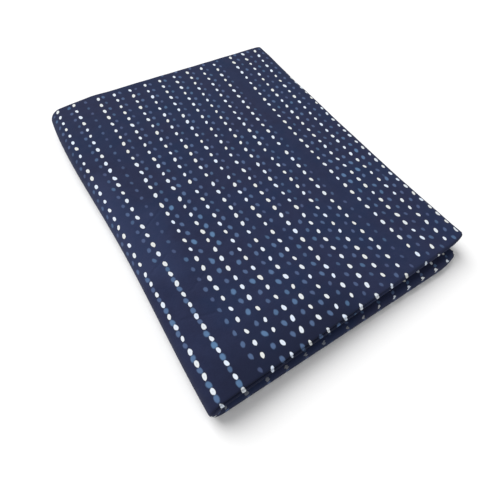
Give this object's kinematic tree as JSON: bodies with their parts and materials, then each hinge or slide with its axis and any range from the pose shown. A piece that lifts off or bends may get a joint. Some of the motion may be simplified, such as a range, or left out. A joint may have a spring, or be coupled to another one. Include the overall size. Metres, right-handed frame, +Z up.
{
  "type": "folded printed cambric fabric",
  "caption": "Cut length of soft indigo cotton cambric with printed rows of running dots, folded like a closed book into a flat rectangle.",
  "frame": {"origin": "middle of the underside of the bounding box, where the folded cloth rests", "axes": "+X across the fold, away from the spine; +Y along the spine, away from the near rolled end; +Z up through the layers"},
  "size_m": [0.27, 0.3416, 0.024],
  "materials": {
    "printed_cambric": "matt plain weave with off-white and mid-blue printed dots"
  },
  "bodies": {
    "root": {"folded_cloth": "printed_cambric"}
  },
  "joints": []
}
